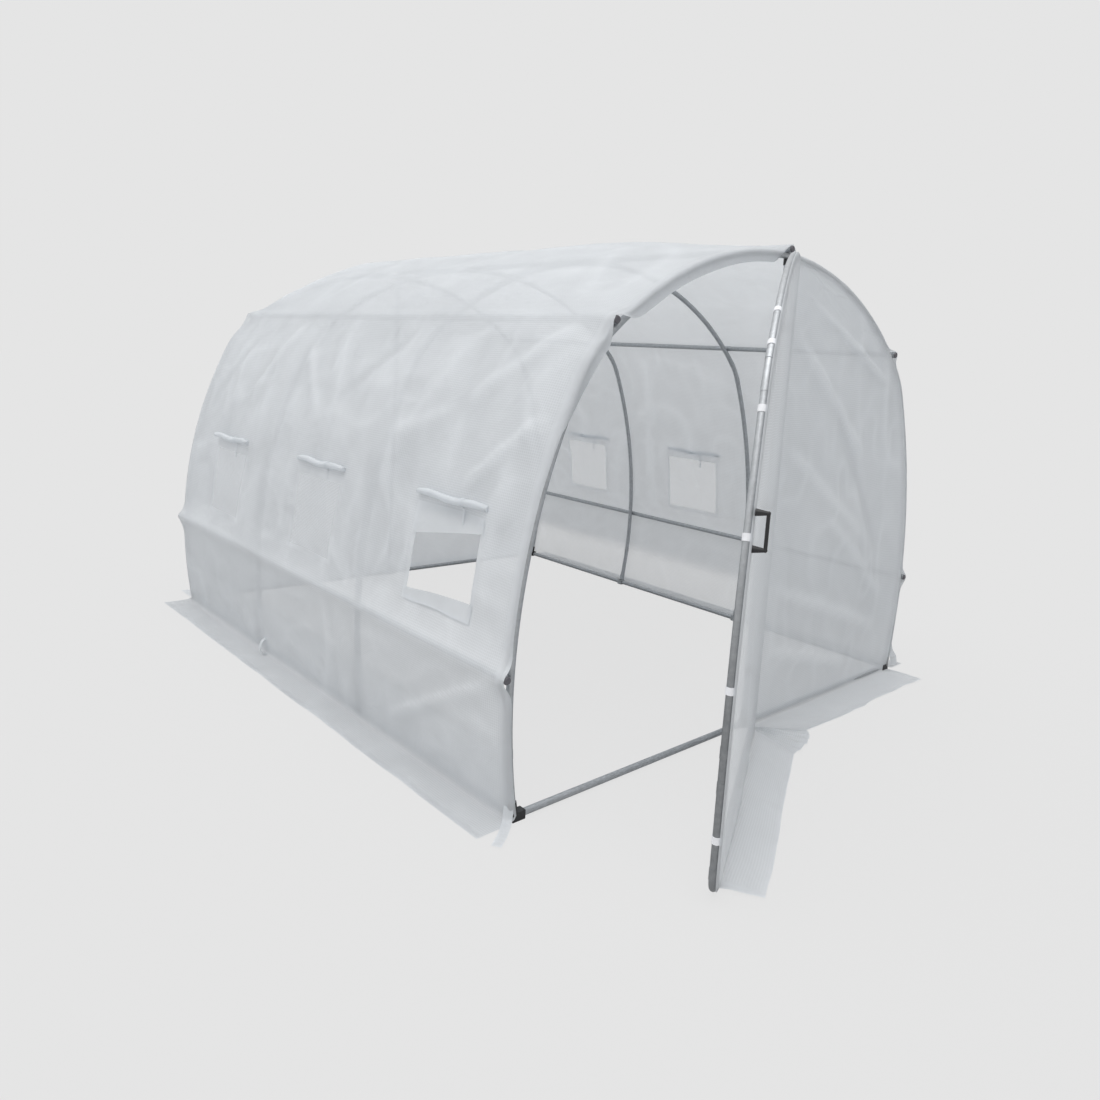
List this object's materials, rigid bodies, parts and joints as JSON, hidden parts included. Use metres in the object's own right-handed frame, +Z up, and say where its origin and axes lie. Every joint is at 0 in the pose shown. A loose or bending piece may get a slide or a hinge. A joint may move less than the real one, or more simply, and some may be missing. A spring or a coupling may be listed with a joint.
{
  "type": "walk-in tunnel greenhouse",
  "caption": "Walk-in tunnel greenhouse: bent tube hoops on a ground frame, a woven cloth cover with roll-up windows, and a half-arch door on a centre post.",
  "frame": {"origin": "on the ground at the foot of the front centre post, on the door's hinge axis", "axes": "+X to the right seen from the front, +Y towards the back end, +Z up"},
  "size_m": [2.8274, 4.0391, 2.029],
  "materials": {
    "galvanised_tube": "galvanised, dull",
    "black_plastic": "moulded, satin",
    "woven_cover": "woven film, translucent"
  },
  "bodies": {
    "tunnel": {"front_hoop": "galvanised_tube", "second_hoop": "galvanised_tube", "third_hoop": "galvanised_tube", "back_hoop": "galvanised_tube", "ridge_tube": "galvanised_tube", "left_shoulder_tube": "galvanised_tube", "right_shoulder_tube": "galvanised_tube", "left_lower_tube": "galvanised_tube", "right_lower_tube": "galvanised_tube", "left_ground_tube": "galvanised_tube", "right_ground_tube": "galvanised_tube", "front_ground_tube": "galvanised_tube", "back_ground_tube": "galvanised_tube", "front_post": "galvanised_tube", "back_post": "galvanised_tube", "post_feet": "black_plastic", "post_heads": "black_plastic", "corner_feet": "black_plastic", "middle_feet": "galvanised_tube", "tube_clips": "galvanised_tube", "tube_plugs": "black_plastic", "left_lower_cover": "woven_cover", "left_wall_below_windows": "woven_cover", "left_wall_between_windows": "woven_cover", "left_wall_above_windows": "woven_cover", "left_roof_cover": "woven_cover", "right_roof_cover": "woven_cover", "right_lower_cover": "woven_cover", "right_wall_below_windows": "woven_cover", "right_wall_between_windows": "woven_cover", "right_wall_above_windows": "woven_cover", "left_flap_rolls": "woven_cover", "right_flap_rolls": "woven_cover", "front_panel": "woven_cover", "back_panel": "woven_cover", "left_skirt": "woven_cover", "right_skirt": "woven_cover", "front_skirt": "woven_cover", "back_skirt": "woven_cover"},
    "door": {"door_frame": "galvanised_tube", "door_panel": "woven_cover", "door_skirt": "woven_cover", "door_handle": "black_plastic", "door_ties": "woven_cover", "hinge_clips": "black_plastic"}
  },
  "joints": [
    {"name": "door_hinge", "type": "hinge", "parent": "tunnel", "child": "door", "pos_m": [0, 0, 0], "axis": [0, 0, 1], "range_deg": [-31, 59]}
  ]
}
